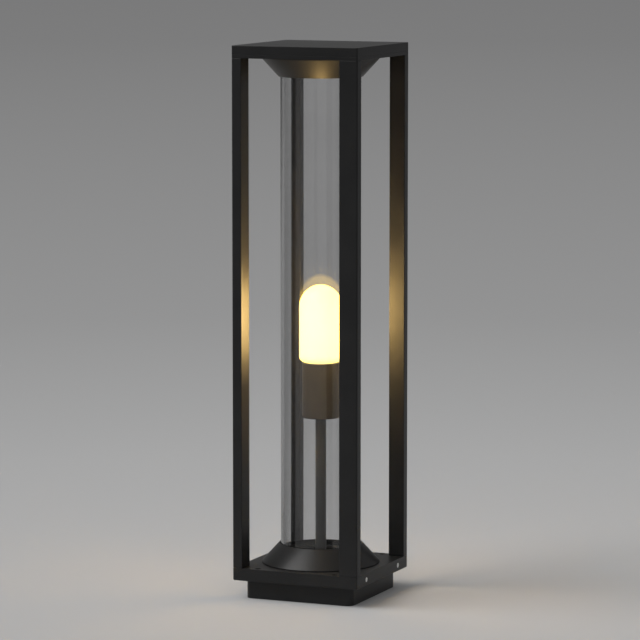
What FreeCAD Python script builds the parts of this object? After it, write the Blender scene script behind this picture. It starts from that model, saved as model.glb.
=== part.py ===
"""Lantern floor lamp: an upright cage of flat bars on a screwed plinth, round a glass tube that
shields a screw-in opal lamp on a slim stem. Millimetres, +Z up, origin at the centre of the foot."""
import FreeCAD, Part
import math
import os

V = FreeCAD.Vector

# ---- Driving dimensions -------------------------------------------------------------------
# Cage
cage_width = 150.0             # outside of the cage, both ways
cage_height = 596.0            # from the underside of the rails to the top of the cover
corner_radius = 2.0            # outer upright edges
rail_drop = 10.0               # height of the bottom rails
deck_thickness = 4.0           # deck under the posts, and ceiling over them
bar_thin = 11.5                # short side of the flat bar used for the posts
front_bar_wide = 21.5          # long side of the two front posts
back_bar_wide = 18.5           # long side of the two back posts
cover_height = 10.0            # skirt and top of the lid over the ceiling
cover_wall = 3.0
cover_edge_radius = 0.6
cover_boss_radius = 5.0
cover_screw_inset = 9.4315     # from the wide end of the collar, along the diagonal
cover_screw_head_radius = 4.0
cover_screw_head_height = 2.0
cover_screw_grip = 5.0         # length in the boss
# Plinth
plinth_setback = 10.5          # how far its side stands back from the cage
plinth_height = 21.0
plinth_corner_radius = 8.0
plinth_wall = 3.0
plinth_floor = 3.0
spigot_wall = 4.0
spigot_step = 1.2              # ledge of the plinth that the rails rest on
spigot_clearance = 0.2         # between the spigot and the rails round it
ground_hole_radius = 3.25
ground_hole_inset = 24.5       # from the side of the plinth
# Screws
screw_from_end = 28.5          # from the outside of the cage, along each rail
side_screw_height = 6.9        # above the underside of the rails
side_screw_head_radius = 2.8
side_screw_head_depth = 1.6
side_screw_shank_radius = 1.5
side_screw_grip = 3.3          # length in the wall of the spigot
deck_screw_head_radius = 3.3
deck_screw_head_height = 1.8
deck_screw_sunk = 2.4          # depth of its counterbore in the deck
deck_screw_shank_radius = 2.0
deck_screw_length = 9.0
screw_clearance = 0.1
# Glass and its collars
glass_radius = 45.0
glass_wall = 4.0
collar_base_radius = 66.0
collar_height = 22.0
collar_rim_height = 1.2        # upright band at the wide end
collar_lip = 1.5               # width of the narrow end outside the glass
collar_wall = 2.6
collar_ledge_height = 14.0     # seat of the gasket, above the wide end
collar_ledge_thickness = 3.0
collar_ledge_reach = 7.4       # how far the ledge reaches in under the glass
glass_clearance = 0.4
gasket_thickness = 1.5
gasket_clearance = 0.2
# Stem and lamp holder
stem_radius = 6.0
stem_wall = 1.5
stem_below_deck = 7.0
stem_clearance = 0.1
stem_nut_flats = 19.0
stem_nut_height = 4.0
holder_radius = 21.0
holder_wall = 1.5
holder_floor = 3.0
holder_bottom = 200.0          # above the ground
holder_height = 62.0
insert_clearance = 0.1
insert_top_gap = 3.0           # below the rim of the holder
insert_pocket_floor = 32.0     # above the bottom of the holder
wire_hole_radius = 3.0
thread_shell_wall = 0.7
thread_shell_depth = 23.0
contact_width = 5.0
contact_thickness = 0.6
# Screw-in lamp
lamp_radius = 24.0
lamp_height = 86.0             # the opal part
lamp_wall = 1.2
lamp_foot_radius = 6.2         # rounding at its foot
lamp_seat_gap = 0.3            # above the rim of the holder
cap_radius = 13.1
cap_height = 22.0
cap_thread_depth = 0.8
cap_wall = 0.6
cap_shoulder = 2.0             # how far the bottom of the cap is drawn in
cap_clearance = 0.3            # to the thread shell round it
tip_height = 4.0
tip_radius = 4.5
# Wiring in the plinth
gland_radius = 8.0
gland_bore_radius = 4.0
gland_flange_radius = 11.0
gland_flange_height = 3.0
gland_height = 13.0
gland_clearance = 0.1
block_length = 34.0
block_width = 17.0
block_height = 12.0
block_from_back = 28.5         # from the back of the plinth to its middle
block_poles = 3
block_screw_radius = 2.2

# ---- Heights and places that follow ---------------------------------------------------------
half = cage_width / 2
plinth_width = cage_width - 2 * plinth_setback
spigot_width = plinth_width - 2 * spigot_step
rail_depth = half - spigot_width / 2 - spigot_clearance
side_screw_length = rail_depth + spigot_clearance + side_screw_grip
screw_place = half - screw_from_end
ground_hole_place = plinth_width / 2 - ground_hole_inset
block_place = plinth_width / 2 - block_from_back
cover_screw_place = (collar_base_radius - cover_screw_inset) / math.sqrt(2)
rails_z = plinth_height
deck_z = rails_z + rail_drop
posts_z = deck_z + deck_thickness
top_z = rails_z + cage_height
cover_z = top_z - cover_height
ceiling_z = cover_z - deck_thickness
holder_top = holder_bottom + holder_height
lamp_z = holder_top + lamp_seat_gap
insert_top = holder_top - insert_top_gap
pocket_z = holder_bottom + insert_pocket_floor
thread_radius = cap_radius + cap_clearance
shell_radius = thread_radius + thread_shell_wall
cap_bottom = lamp_z - cap_height
glass_bottom = posts_z + collar_ledge_height + gasket_thickness
glass_top = ceiling_z - collar_ledge_height - gasket_thickness
seat_radius = glass_radius + glass_clearance
overrun = 1.0                  # how far a cutting tool runs past the face it cuts


# ---- Helpers ----------------------------------------------------------------------------------
def box(x0, y0, z0, x1, y1, z1):
    """A block between two corners."""
    return Part.makeBox(x1 - x0, y1 - y0, z1 - z0, V(x0, y0, z0))


def rod(radius, z0, z1, x=0.0, y=0.0):
    """An upright cylinder."""
    return Part.makeCylinder(radius, z1 - z0, V(x, y, z0))


def rounded_block(width, z0, z1, radius):
    """A square block about the Z axis with rounded upright edges."""
    h = width / 2
    block = box(-h, -h, z0, h, h, z1)
    upright = [e for e in block.Edges if abs(e.Vertexes[0].Z - e.Vertexes[1].Z) > (z1 - z0) / 2]
    return block.makeFillet(radius, upright)


def turned(points):
    """A solid of revolution about Z from a closed outline of (radius, height) points."""
    outline = [V(r, 0, z) for r, z in points]
    face = Part.Face(Part.makePolygon(outline + outline[:1]))
    return face.revolve(V(0, 0, 0), V(0, 0, 1), 360)


def hexagon(across_flats, z0, z1, x=0.0, y=0.0):
    """A six-sided prism."""
    r = across_flats / math.sqrt(3)
    corners = [V(x + r * math.cos(math.radians(60 * i)), y + r * math.sin(math.radians(60 * i)), z0)
               for i in range(6)]
    return Part.Face(Part.makePolygon(corners + corners[:1])).extrude(V(0, 0, z1 - z0))


def four(place_x, place_y):
    """The four mirrored places of a rectangle."""
    return [(sx * place_x, sy * place_y) for sx in (-1, 1) for sy in (-1, 1)]


def cage_slice(z0, z1):
    """The rounded square outline of the cage between two heights."""
    return rounded_block(cage_width, z0, z1, corner_radius)


# ---- Screws -------------------------------------------------------------------------------------
def side_screw(side, y):
    """A countersunk screw that goes in from the left (-1) or the right (1)."""
    z = rails_z + side_screw_height
    inward = V(-side, 0, 0)
    outer = V(side * half, y, z)
    head = Part.makeCone(side_screw_head_radius, side_screw_shank_radius, side_screw_head_depth,
                         outer, inward)
    shank = Part.makeCylinder(side_screw_shank_radius, side_screw_length, outer, inward)
    return head.fuse(shank).removeSplitter()


def side_screw_hole(side, y):
    """The countersunk clearance hole for that screw."""
    z = rails_z + side_screw_height
    inward = V(-side, 0, 0)
    outer = V(side * half, y, z)
    radius = side_screw_head_radius + screw_clearance
    sink = Part.makeCone(radius, side_screw_shank_radius + screw_clearance,
                         side_screw_head_depth + screw_clearance, outer, inward)
    bore = Part.makeCylinder(side_screw_shank_radius + screw_clearance,
                             side_screw_length + screw_clearance, outer, inward)
    return sink.fuse(bore)


def deck_screw(x, y):
    """A socket-head screw sunk in the deck, down into a front or back rail."""
    seat = posts_z - deck_screw_sunk
    head = rod(deck_screw_head_radius, seat, seat + deck_screw_head_height, x, y)
    shank = rod(deck_screw_shank_radius, seat - deck_screw_length, seat + 0.5, x, y)
    return head.fuse(shank).removeSplitter()


def deck_screw_hole(x, y):
    """Its counterbore and clearance hole."""
    seat = posts_z - deck_screw_sunk
    wide = rod(deck_screw_head_radius + screw_clearance, seat, posts_z + overrun, x, y)
    bore = rod(deck_screw_shank_radius + screw_clearance,
               seat - deck_screw_length - screw_clearance, seat + overrun, x, y)
    return wide.fuse(bore)


def cover_screw(x, y):
    """A pan-head screw up through the ceiling into a boss of the lid."""
    head = rod(cover_screw_head_radius, ceiling_z - cover_screw_head_height, ceiling_z, x, y)
    shank = rod(side_screw_shank_radius, ceiling_z - cover_screw_head_height / 2,
                cover_z + cover_screw_grip, x, y)
    return head.fuse(shank).removeSplitter()


def cover_screw_hole(x, y):
    """The hole for that screw through ceiling and boss."""
    return rod(side_screw_shank_radius + screw_clearance, ceiling_z - overrun,
               cover_z + cover_screw_grip + screw_clearance, x, y)


rail_centre = half - rail_depth / 2
side_places = [(side, sy * screw_place) for side in (-1, 1) for sy in (-1, 1)]
deck_places = four(screw_place, rail_centre)
cover_places = four(cover_screw_place, cover_screw_place)


def cut_all(solid, tools):
    """The solid with every tool taken out of it."""
    for tool in tools:
        solid = solid.cut(tool)
    return solid


# ---- Cage ---------------------------------------------------------------------------------------
def bottom_rails():
    """Four rails: front and back run the full width, left and right fit between them."""
    ring = cage_slice(rails_z, deck_z)
    low = [e for e in ring.Edges if max(v.Z for v in e.Vertexes) < rails_z + 0.001]
    ring = ring.makeFillet(corner_radius * 0.75, low)
    inner = half - rail_depth
    blocks = {
        "bottom_rail_front": box(-half, -half, rails_z, half, -inner, deck_z),
        "bottom_rail_back": box(-half, inner, rails_z, half, half, deck_z),
        "bottom_rail_left": box(-half, -inner, rails_z, -inner, inner, deck_z),
        "bottom_rail_right": box(inner, -inner, rails_z, half, inner, deck_z),
    }
    holes = [side_screw_hole(*p) for p in side_places] + [deck_screw_hole(*p) for p in deck_places]
    return {name: cut_all(ring.common(b), holes) for name, b in blocks.items()}


def posts():
    """Four flat bars. The left front one stands edge-on to the front, the others flat to it."""
    column = cage_slice(posts_z, ceiling_z)
    sections = {
        "post_front_left": (-1, -1, bar_thin, front_bar_wide),
        "post_front_right": (1, -1, front_bar_wide, bar_thin),
        "post_back_right": (1, 1, back_bar_wide, bar_thin),
        "post_back_left": (-1, 1, back_bar_wide, bar_thin),
    }
    made = {}
    for name, (sx, sy, along_x, along_y) in sections.items():
        x = sorted((sx * half, sx * (half - along_x)))
        y = sorted((sy * half, sy * (half - along_y)))
        made[name] = column.common(box(x[0], y[0], posts_z, x[1], y[1], ceiling_z))
    return made


def deck_plate():
    """The floor of the cage, which the posts and the lower collar stand on."""
    plate = cage_slice(deck_z, posts_z)
    tools = [deck_screw_hole(*p) for p in deck_places]
    tools.append(rod(stem_radius + stem_clearance, deck_z - overrun, posts_z + overrun))
    return cut_all(plate, tools)


def ceiling_plate():
    """The plate that closes the cage at the top and carries the upper collar."""
    return cut_all(cage_slice(ceiling_z, cover_z), [cover_screw_hole(*p) for p in cover_places])


def top_cover():
    """The lid: a shallow tray upside down, with a boss for each of its screws."""
    lid = cage_slice(cover_z, top_z)
    high = [e for e in lid.Edges if min(v.Z for v in e.Vertexes) > top_z - 0.001]
    lid = lid.makeFillet(cover_edge_radius, high)
    inner = cage_width - 2 * cover_wall
    lid = lid.cut(rounded_block(inner, cover_z - overrun, top_z - cover_wall, corner_radius))
    for x, y in cover_places:
        lid = lid.fuse(rod(cover_boss_radius, cover_z, top_z - cover_wall + 0.5, x, y))
    return cut_all(lid.removeSplitter(), [cover_screw_hole(*p) for p in cover_places])


# ---- Plinth and wiring ----------------------------------------------------------------------------
def plinth():
    """An open casting on the ground, with a spigot that the cage drops over."""
    body = rounded_block(plinth_width, 0, plinth_height, plinth_corner_radius)
    spigot = rounded_block(spigot_width, plinth_height - overrun, deck_z, plinth_corner_radius)
    low_room = rounded_block(plinth_width - 2 * plinth_wall, plinth_floor, plinth_height - plinth_wall,
                             plinth_corner_radius - plinth_wall)
    high_room = rounded_block(spigot_width - 2 * spigot_wall, plinth_floor, deck_z + overrun,
                              plinth_corner_radius - plinth_wall)
    tools = [low_room, high_room]
    tools += [side_screw_hole(*p) for p in side_places]
    tools += [rod(ground_hole_radius, -overrun, plinth_floor + overrun, x, y)
              for x, y in four(ground_hole_place, ground_hole_place)]
    tools.append(rod(gland_radius + gland_clearance, -overrun, plinth_floor + overrun))
    return cut_all(body.fuse(spigot).removeSplitter(), tools)


def cable_gland():
    """The gland in the floor of the plinth, flush below, with its nut inside."""
    barrel = rod(gland_radius, 0, plinth_floor + gland_height)
    nut = hexagon(2 * gland_flange_radius, plinth_floor, plinth_floor + gland_flange_height)
    return barrel.fuse(nut).removeSplitter().cut(
        rod(gland_bore_radius, -overrun, plinth_floor + gland_height + overrun))


def terminal_block():
    """The connector strip on the floor of the plinth, one clamp screw for each pole."""
    y0 = block_place - block_width / 2
    block = box(-block_length / 2, y0, plinth_floor, block_length / 2, y0 + block_width,
                plinth_floor + block_height)
    pitch = block_length / block_poles
    for i in range(block_poles):
        x = (i - (block_poles - 1) / 2) * pitch
        block = block.cut(rod(block_screw_radius, plinth_floor + block_height / 2,
                              plinth_floor + block_height + overrun, x, block_place))
    return block


# ---- Glass and collars -------------------------------------------------------------------------------
def collar_outline(z0, up):
    """Half section of a collar, its wide end at z0 and its narrow end up (1) or down (-1)."""
    slope = (collar_base_radius - seat_radius - collar_lip) / (collar_height - collar_rim_height)
    ledge_low = collar_ledge_height - collar_ledge_thickness
    inner_base = collar_base_radius - collar_wall - 1.0
    points = [
        (collar_base_radius, 0),
        (collar_base_radius, collar_rim_height),
        (seat_radius + collar_lip, collar_height),
        (seat_radius, collar_height),
        (seat_radius, collar_ledge_height),
        (seat_radius - collar_ledge_reach, collar_ledge_height),
        (seat_radius - collar_ledge_reach, ledge_low),
        (inner_base - slope * ledge_low, ledge_low),
        (inner_base, 0),
    ]
    return [(r, z0 + up * z) for r, z in points]


def gasket(z0, z1):
    """The flat silicone ring between a ledge and the end of the glass."""
    outer = glass_radius + gasket_clearance
    inner = glass_radius - glass_wall - 1.0
    return rod(outer, z0, z1).cut(rod(inner, z0 - overrun, z1 + overrun))


def glass_tube():
    """The clear tube from the lower gasket to the upper one."""
    bore = rod(glass_radius - glass_wall, glass_bottom - overrun, glass_top + overrun)
    return rod(glass_radius, glass_bottom, glass_top).cut(bore)


# ---- Stem and lamp holder ------------------------------------------------------------------------------
def stem():
    """The threaded tube that carries the holder and its wires."""
    z0 = deck_z - stem_below_deck
    z1 = holder_bottom + holder_floor
    return rod(stem_radius, z0, z1).cut(rod(stem_radius - stem_wall, z0 - overrun, z1 + overrun))


def stem_nuts():
    """Two nuts that clamp the stem to the deck, one above and one below."""
    bore = rod(stem_radius + stem_clearance, deck_z - 2 * stem_nut_height,
               posts_z + 2 * stem_nut_height)
    lower = hexagon(stem_nut_flats, deck_z - stem_nut_height, deck_z).cut(bore)
    upper = hexagon(stem_nut_flats, posts_z, posts_z + stem_nut_height).cut(bore)
    return Part.makeCompound([lower, upper])


def holder_shell():
    """The outer cup of the lamp holder."""
    cup = rod(holder_radius, holder_bottom, holder_top)
    room = rod(holder_radius - holder_wall, holder_bottom + holder_floor, holder_top + overrun)
    neck = rod(stem_radius + stem_clearance, holder_bottom - overrun, holder_top)
    return cut_all(cup, [room, neck])


def holder_insert():
    """The ceramic body in the cup, with a pocket for the thread shell."""
    z0 = holder_bottom + holder_floor
    body = rod(holder_radius - holder_wall - insert_clearance, z0, insert_top)
    pocket = rod(shell_radius + insert_clearance, pocket_z, insert_top + overrun)
    wires = rod(wire_hole_radius, z0 - overrun, pocket_z + overrun, contact_width * 1.5, 0)
    return cut_all(body, [pocket, wires])


def thread_shell():
    """The brass sleeve that takes the cap of the lamp."""
    z0 = insert_top - thread_shell_depth
    sleeve = rod(shell_radius, z0, insert_top)
    return sleeve.cut(rod(thread_radius, z0 - overrun, insert_top + overrun))


def centre_contact():
    """The bent tongue that meets the tip of the lamp."""
    w = contact_width / 2
    t = contact_thickness
    high = cap_bottom - tip_height - lamp_seat_gap
    points = [(-w, pocket_z), (w, pocket_z), (w, pocket_z + t), (-w + t, pocket_z + t),
              (-w + t, high - t), (w, high - t), (w, high), (-w, high)]
    outline = [V(x, -w, z) for x, z in points]
    return Part.Face(Part.makePolygon(outline + outline[:1])).extrude(V(0, contact_width, 0))


# ---- Lamp -------------------------------------------------------------------------------------------------
def lamp_outside():
    """The lamp's form, solid: flat foot, rounded edge, upright side and round dome."""
    z0 = lamp_z
    z1 = lamp_z + lamp_height
    side = rod(lamp_radius, z0, z1 - lamp_radius)
    foot = [e for e in side.Edges if max(v.Z for v in e.Vertexes) < z0 + 0.001]
    dome = Part.makeSphere(lamp_radius, V(0, 0, z1 - lamp_radius), V(0, 0, 1), 0, 90, 360)
    return side.makeFillet(lamp_foot_radius, foot).fuse(dome)


def lamp_inside():
    """The room inside the bulb, its ends cut at a slant."""
    z0 = lamp_z + lamp_wall
    dome_z = lamp_z + lamp_height - lamp_radius
    r = lamp_radius - lamp_wall
    return turned([(0, z0), (r - lamp_foot_radius, z0), (r, z0 + lamp_foot_radius), (r, dome_z),
                   (r * 0.88, dome_z + r * 0.4), (r * 0.6, dome_z + r * 0.72),
                   (0, dome_z + r * 0.92)])


def lamp_envelope():
    """The opal bulb, a thin shell."""
    return lamp_outside().cut(lamp_inside())


def lamp_cap():
    """The screw cap: a plain sleeve at the crests of its thread, drawn in at the bottom."""
    inner = cap_radius - cap_thread_depth - cap_wall
    neck = inner - cap_shoulder
    return turned([(cap_radius, lamp_z), (cap_radius, cap_bottom + cap_shoulder),
                   (neck + cap_wall, cap_bottom), (neck, cap_bottom),
                   (neck, cap_bottom + cap_wall), (inner, cap_bottom + cap_wall + cap_shoulder),
                   (inner, lamp_z)])


def lamp_tip():
    """The insulator and the contact button under the cap."""
    base = cap_radius - cap_thread_depth - cap_wall - cap_shoulder
    return turned([(0, cap_bottom), (base, cap_bottom), (tip_radius, cap_bottom - tip_height * 0.7),
                   (tip_radius, cap_bottom - tip_height), (0, cap_bottom - tip_height)])


# ---- Assembly ---------------------------------------------------------------------------------------------
def build():
    """Every node by name."""
    nodes = {
        "plinth": plinth(),
        "deck_plate": deck_plate(),
        "ceiling_plate": ceiling_plate(),
        "top_cover": top_cover(),
        "lower_collar": turned(collar_outline(posts_z, 1)),
        "upper_collar": turned(collar_outline(ceiling_z, -1)),
        "lower_gasket": gasket(posts_z + collar_ledge_height, glass_bottom),
        "upper_gasket": gasket(glass_top, ceiling_z - collar_ledge_height),
        "glass_tube": glass_tube(),
        "stem": stem(),
        "stem_nuts": stem_nuts(),
        "holder_shell": holder_shell(),
        "holder_insert": holder_insert(),
        "thread_shell": thread_shell(),
        "centre_contact": centre_contact(),
        "lamp_envelope": lamp_envelope(),
        "lamp_cap": lamp_cap(),
        "lamp_tip": lamp_tip(),
        "frame_screws": Part.makeCompound([side_screw(*p) for p in side_places]),
        "deck_screws": Part.makeCompound([deck_screw(*p) for p in deck_places]),
        "cover_screws": Part.makeCompound([cover_screw(*p) for p in cover_places]),
        "cable_gland": cable_gland(),
        "terminal_block": terminal_block(),
    }
    nodes.update(bottom_rails())
    nodes.update(posts())
    return nodes


def main():
    """Writes one STEP file for each node."""
    os.makedirs("parts", exist_ok=True)
    for name, shape in build().items():
        solids = shape.Solids
        if not shape.isValid() or not solids:
            raise ValueError(f"{name} is not a valid solid")
        out = solids[0] if len(solids) == 1 else Part.makeCompound(solids)
        out.exportStep(os.path.join("parts", name + ".step"))
        print(f"{name}: {len(solids)} solid(s), {sum(s.Volume for s in solids):.0f} mm3")


main()
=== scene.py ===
"""Looks of the lantern floor lamp: a black flat-bar cage round a lit lamp in a clear glass tube.

Every piece is in metres, +Z up, with the origin at the centre of the plinth's underside.
"""

import logging
import math
from dataclasses import dataclass, field
from enum import Enum
from typing import Callable, Iterable, Sequence

import bmesh
import bpy
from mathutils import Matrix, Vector

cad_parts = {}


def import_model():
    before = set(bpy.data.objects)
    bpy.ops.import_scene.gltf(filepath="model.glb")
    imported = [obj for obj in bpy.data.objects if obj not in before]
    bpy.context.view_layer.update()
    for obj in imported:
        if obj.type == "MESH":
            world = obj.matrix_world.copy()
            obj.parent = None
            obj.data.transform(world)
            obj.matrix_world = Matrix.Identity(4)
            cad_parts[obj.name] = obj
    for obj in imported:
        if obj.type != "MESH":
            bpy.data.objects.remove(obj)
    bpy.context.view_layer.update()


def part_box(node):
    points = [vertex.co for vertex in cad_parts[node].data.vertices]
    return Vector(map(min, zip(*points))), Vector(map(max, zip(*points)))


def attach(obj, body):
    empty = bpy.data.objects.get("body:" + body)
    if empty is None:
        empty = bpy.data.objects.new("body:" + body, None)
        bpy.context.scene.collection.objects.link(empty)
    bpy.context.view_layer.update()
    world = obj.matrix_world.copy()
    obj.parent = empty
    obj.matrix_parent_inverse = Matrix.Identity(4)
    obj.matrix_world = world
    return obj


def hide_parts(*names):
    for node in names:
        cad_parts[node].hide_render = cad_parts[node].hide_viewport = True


MM = 0.001
LOG = logging.getLogger("lantern")
Profile = list[tuple[float, float]]
Colour = tuple[float, float, float]
WHITE: Colour = (1.0, 1.0, 1.0)

# Types of the sockets that the node groups hand in and out
VECTOR = "NodeSocketVector"
COLOUR = "NodeSocketColor"
FLOAT = "NodeSocketFloat"
GEOMETRY = "NodeSocketGeometry"
MATERIAL = "NodeSocketMaterial"

# Limits of the mesh helpers
NO_LENGTH = 1e-7                  # a radius or a side below this counts as none
WELD_GAP = 2e-6                   # vertices closer than this become one
STRAIGHT = math.radians(175)      # corners more open than this stay as they are
SIDE_SHARE = 0.45                 # most of a side that one rounded corner takes up
SAME_PLANE = math.radians(0.6)    # faces that differ by less become one
EASED_FROM = math.radians(40)     # edges steeper than this are eased
EASE_STEPS = 2                    # segments across an eased edge
THREAD_STEPS = 48                 # segments in each turn of a thread
BEAD_SIDES = 8                    # segments round a thread's crest


class Body(Enum):
    """The rigid bodies that pieces ride on."""

    CAGE = "cage"
    LAMP = "lamp"


class Slot(Enum):
    """Material slots of the record."""

    PAINT = "black_paint"
    GLASS = "clear_glass"
    OPAL = "opal_glass"
    SILICONE = "silicone"
    STEEL = "steel"
    DARK_STEEL = "dark_steel"
    HOLDER = "holder_plastic"
    CERAMIC = "ceramic"
    BRASS = "brass"
    CAP = "cap_metal"
    INSULATOR = "cap_insulator"
    BLOCK = "block_plastic"
    GLAND = "gland_plastic"


# ---- Node helpers ------------------------------------------------------------------------
def feed(tree: bpy.types.NodeTree, node: bpy.types.Node, inputs: dict[str | int, object]) -> None:
    """Feeds a node's inputs.

    Args:
        tree: the tree that the node is in.
        node: the node.
        inputs: what goes into each input, by name or number: another node's socket, a colour
            of three numbers, which is made opaque, or any other plain value.
    """
    for key, value in inputs.items():
        if isinstance(value, bpy.types.NodeSocket):
            tree.links.new(value, node.inputs[key])
        elif isinstance(value, tuple):
            node.inputs[key].default_value = (*value, 1.0)
        else:
            node.inputs[key].default_value = value


def add_node(tree: bpy.types.NodeTree, kind: str, x: float = 0.0, y: float = 0.0,
             inputs: dict[str | int, object] | None = None, **settings: object) -> bpy.types.Node:
    """Adds a node.

    Args:
        tree: the tree to add to.
        kind: Blender's name of the node type.
        x: place along the editor's X.
        y: place along the editor's Y.
        inputs: what feeds it, as feed takes it.
        **settings: properties of the node, set before its inputs.

    Returns:
        The new node.
    """
    node = tree.nodes.new(kind)
    node.location = (x, y)
    for name, value in settings.items():
        setattr(node, name, value)
    feed(tree, node, inputs or {})
    return node


def maths(tree: bpy.types.NodeTree, operation: str, first: object, second: object,
          x: float, y: float) -> bpy.types.NodeSocket:
    """Adds a Math node.

    Args:
        tree: the tree to add to.
        operation: Blender's name of the operation.
        first: its first input.
        second: its second input.
        x: place along the editor's X.
        y: place along the editor's Y.

    Returns:
        The socket with the result.
    """
    node = add_node(tree, "ShaderNodeMath", x, y, {0: first, 1: second}, operation=operation)
    return node.outputs["Value"]


def blend(tree: bpy.types.NodeTree, share: object, low: object, high: object,
          x: float, y: float) -> bpy.types.NodeSocket:
    """Adds a node that mixes two colours.

    Args:
        tree: the tree to add to.
        share: how much of the second colour comes through.
        low: the first colour.
        high: the second colour.
        x: place along the editor's X.
        y: place along the editor's Y.

    Returns:
        The socket with the mixed colour.
    """
    factor, first, second, mixed = 0, 6, 7, 2   # its colour sockets share their names with others
    node = add_node(tree, "ShaderNodeMix", x, y, {factor: share, first: low, second: high},
                    data_type="RGBA")
    return node.outputs[mixed]


def new_group(name: str, kind: str, inputs: Sequence[tuple[str, str, object]],
              outputs: Sequence[tuple[str, str]]
              ) -> tuple[bpy.types.NodeTree, bpy.types.Node, bpy.types.Node]:
    """Starts a node group.

    Args:
        name: the group's name.
        kind: Blender's name of the tree type.
        inputs: name, socket type and default of each input, or None for no default.
        outputs: name and socket type of each output.

    Returns:
        The group, the node that hands its inputs in and the one that takes its outputs.
    """
    tree = bpy.data.node_groups.new(name, kind)
    for title, socket, default in inputs:
        item = tree.interface.new_socket(name=title, in_out="INPUT", socket_type=socket)
        if default is not None:
            item.default_value = default
    for title, socket in outputs:
        tree.interface.new_socket(name=title, in_out="OUTPUT", socket_type=socket)
    return tree, add_node(tree, "NodeGroupInput", -900), add_node(tree, "NodeGroupOutput", 900)


# ---- Shared shader effects ---------------------------------------------------------------
def surface_grain() -> bpy.types.ShaderNodeTree:
    """Builds the group that breaks up a surface: broad mottling, fine grain and settled dust.

    Returns:
        A group that puts out Colour, Roughness and Height, all varying over the surface.
    """
    name = "Surface grain"
    if name in bpy.data.node_groups:
        return bpy.data.node_groups[name]
    tree, inlet, outlet = new_group(name, "ShaderNodeTree", [
        ("Vector", VECTOR, None),
        ("Colour", COLOUR, (0.02, 0.02, 0.02, 1.0)),
        ("Mottled Colour", COLOUR, (0.03, 0.03, 0.03, 1.0)),
        ("Mottle Scale", FLOAT, 18.0),
        ("Grain Scale", FLOAT, 900.0),
        ("Roughness Low", FLOAT, 0.3),
        ("Roughness High", FLOAT, 0.4),
        ("Dust Colour", COLOUR, (0.2, 0.19, 0.18, 1.0)),
        ("Dust", FLOAT, 0.0),
    ], [("Colour", COLOUR), ("Roughness", FLOAT), ("Height", FLOAT)])
    given = inlet.outputs

    mottle = add_node(tree, "ShaderNodeTexNoise", -650, 200, {
        "Vector": given["Vector"], "Scale": given["Mottle Scale"], "Detail": 5.0,
        "Roughness": 0.6})
    spread = add_node(tree, "ShaderNodeMapRange", -430, 200, {
        "Value": mottle.outputs["Fac"], "From Min": 0.35, "From Max": 0.65})
    tone = blend(tree, spread.outputs["Result"], given["Colour"], given["Mottled Colour"],
                 -150, 250)
    grain = add_node(tree, "ShaderNodeTexNoise", -650, -150, {
        "Vector": given["Vector"], "Scale": given["Grain Scale"], "Detail": 3.0})
    rough = add_node(tree, "ShaderNodeMapRange", 150, 0, {
        "Value": mottle.outputs["Fac"], "To Min": given["Roughness Low"],
        "To Max": given["Roughness High"]})

    # Dust settles on what faces up, broken by the mottling.
    normal = add_node(tree, "ShaderNodeNewGeometry", -650, -450)
    axes = add_node(tree, "ShaderNodeSeparateXYZ", -430, -450, {
        "Vector": normal.outputs["Normal"]})
    level = add_node(tree, "ShaderNodeMapRange", -230, -450, {
        "Value": axes.outputs["Z"], "From Min": 0.6, "From Max": 1.0})
    settled = maths(tree, "MULTIPLY", level.outputs["Result"], given["Dust"], -30, -350)
    broken = maths(tree, "MULTIPLY", settled, mottle.outputs["Fac"], 150, -350)
    dusted = blend(tree, broken, tone, given["Dust Colour"], 350, 200)

    feed(tree, outlet, {"Colour": dusted, "Roughness": rough.outputs["Result"],
                        "Height": grain.outputs["Fac"]})
    return tree


def lamp_glow() -> bpy.types.ShaderNodeTree:
    """Builds the group for the lit opal glass: it dims a little towards the foot.

    Returns:
        A group that puts out the glow's Colour.
    """
    name = "Lamp glow"
    if name in bpy.data.node_groups:
        return bpy.data.node_groups[name]
    tree, inlet, outlet = new_group(name, "ShaderNodeTree", [
        ("Vector", VECTOR, None),
        ("Foot Height", FLOAT, 0.26),
        ("Full Height", FLOAT, 0.28),
        ("Foot Colour", COLOUR, (0.6, 0.3, 0.07, 1.0)),
        ("Full Colour", COLOUR, (1.0, 0.55, 0.16, 1.0)),
    ], [("Colour", COLOUR)])
    given = inlet.outputs
    axes = add_node(tree, "ShaderNodeSeparateXYZ", -400, 100, {"Vector": given["Vector"]})
    climb = add_node(tree, "ShaderNodeMapRange", -150, 100, {
        "Value": axes.outputs["Z"], "From Min": given["Foot Height"],
        "From Max": given["Full Height"]}, interpolation_type="SMOOTHSTEP")
    glow = blend(tree, climb.outputs["Result"], given["Foot Colour"], given["Full Colour"],
                 150, 100)
    feed(tree, outlet, {"Colour": glow})
    return tree


# ---- Finishes ----------------------------------------------------------------------------
def new_material(name: str) -> tuple[bpy.types.Material, bpy.types.NodeTree, bpy.types.Node]:
    """Starts a material.

    Args:
        name: the material's name.

    Returns:
        The material, its node tree and the shader in it.
    """
    mat = bpy.data.materials.new(name)
    mat.use_nodes = True
    return mat, mat.node_tree, mat.node_tree.nodes["Principled BSDF"]


def let_shadow_rays_out(tree: bpy.types.NodeTree, shader: bpy.types.Node, tint: Colour) -> None:
    """Puts a shader on the surface, see-through to shadow rays so that light inside gets out.

    Args:
        tree: the material's node tree.
        shader: what every other ray sees.
        tint: what the shadow rays are tinted with.
    """
    clear = add_node(tree, "ShaderNodeBsdfTransparent", 100, -400, {"Color": tint})
    rays = add_node(tree, "ShaderNodeLightPath", 100, 300)
    mix = add_node(tree, "ShaderNodeMixShader", 350, 0, {
        "Fac": rays.outputs["Is Shadow Ray"], 1: shader.outputs["BSDF"],
        2: clear.outputs["BSDF"]})
    feed(tree, tree.nodes["Material Output"], {"Surface": mix.outputs["Shader"]})


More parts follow.
